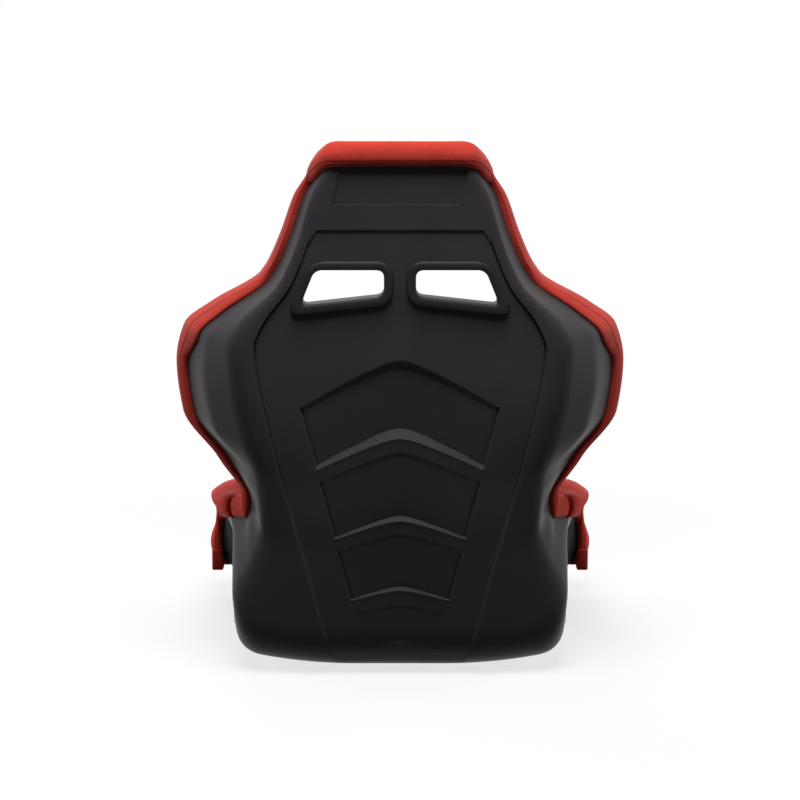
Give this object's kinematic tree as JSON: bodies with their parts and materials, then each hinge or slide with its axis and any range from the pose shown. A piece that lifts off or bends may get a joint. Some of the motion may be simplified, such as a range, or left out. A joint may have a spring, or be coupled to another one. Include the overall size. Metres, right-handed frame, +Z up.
{
  "type": "racing seat",
  "caption": "Fixed-back bucket racing seat with winged shoulders, harness slots, rolled red upholstery round a black moulded shell and threaded side mounts.",
  "frame": {"origin": "on the pan's underside, on the plane of symmetry, midway between the front and rear side mounts", "axes": "+Z up, the seat faces -Y, +X is the occupant's left-hand side"},
  "size_m": [0.5944, 0.602, 0.7229],
  "materials": {
    "shell_gelcoat": "satin black gelcoat over a glass laminate",
    "red_fabric": "soft red knitted upholstery cloth with a short nap",
    "black_fabric": "black knitted upholstery cloth",
    "black_trim": "smooth black moulded edge trim",
    "hook_tape": "black hook-and-loop tape",
    "plated_steel": "zinc-plated steel"
  },
  "bodies": {
    "seat": {"shell_pan": "shell_gelcoat", "shell_back": "shell_gelcoat", "shell_head": "shell_gelcoat", "head_cover": "red_fabric", "front_lip_cover": "red_fabric", "pan_lining": "black_fabric", "back_lining": "black_fabric", "head_lining": "black_fabric", "crotch_slot_trim": "black_trim", "shell_wall_left": "shell_gelcoat", "shell_wing_left": "shell_gelcoat", "side_cover_left": "red_fabric", "thigh_cover_left": "red_fabric", "thigh_bolster_left": "red_fabric", "side_bolster_left": "red_fabric", "head_bolster_left": "red_fabric", "shoulder_slot_trim_left": "black_trim", "shoulder_slot_bezel_left": "black_trim", "lap_slot_trim_left": "black_trim", "lap_slot_bezel_left": "black_trim", "mount_plate_left": "plated_steel", "mount_insert_rear_left": "plated_steel", "mount_insert_front_left": "plated_steel", "seat_hook_strip_left": "hook_tape", "lumbar_hook_strip_left": "hook_tape", "head_hook_strip_left": "hook_tape", "shell_wall_right": "shell_gelcoat", "shell_wing_right": "shell_gelcoat", "side_cover_right": "red_fabric", "thigh_cover_right": "red_fabric", "thigh_bolster_right": "red_fabric", "side_bolster_right": "red_fabric", "head_bolster_right": "red_fabric", "shoulder_slot_trim_right": "black_trim", "shoulder_slot_bezel_right": "black_trim", "lap_slot_trim_right": "black_trim", "lap_slot_bezel_right": "black_trim", "mount_plate_right": "plated_steel", "mount_insert_rear_right": "plated_steel", "mount_insert_front_right": "plated_steel", "seat_hook_strip_right": "hook_tape", "lumbar_hook_strip_right": "hook_tape", "head_hook_strip_right": "hook_tape"},
    "seat_cushion": {"seat_cushion": "black_fabric"},
    "lumbar_cushion": {"lumbar_cushion": "black_fabric"},
    "head_cushion": {"head_cushion": "black_fabric"}
  },
  "joints": [
    {"name": "seat_cushion_lift", "type": "slide", "parent": "seat", "child": "seat_cushion", "axis": [0, 0, 1], "range_m": [0, 0.1]},
    {"name": "lumbar_cushion_lift", "type": "slide", "parent": "seat", "child": "lumbar_cushion", "axis": [0, -0.9613, 0.2756], "range_m": [0, 0.1]},
    {"name": "head_cushion_lift", "type": "slide", "parent": "seat", "child": "head_cushion", "axis": [0, -0.9877, 0.1564], "range_m": [0, 0.1]}
  ]
}
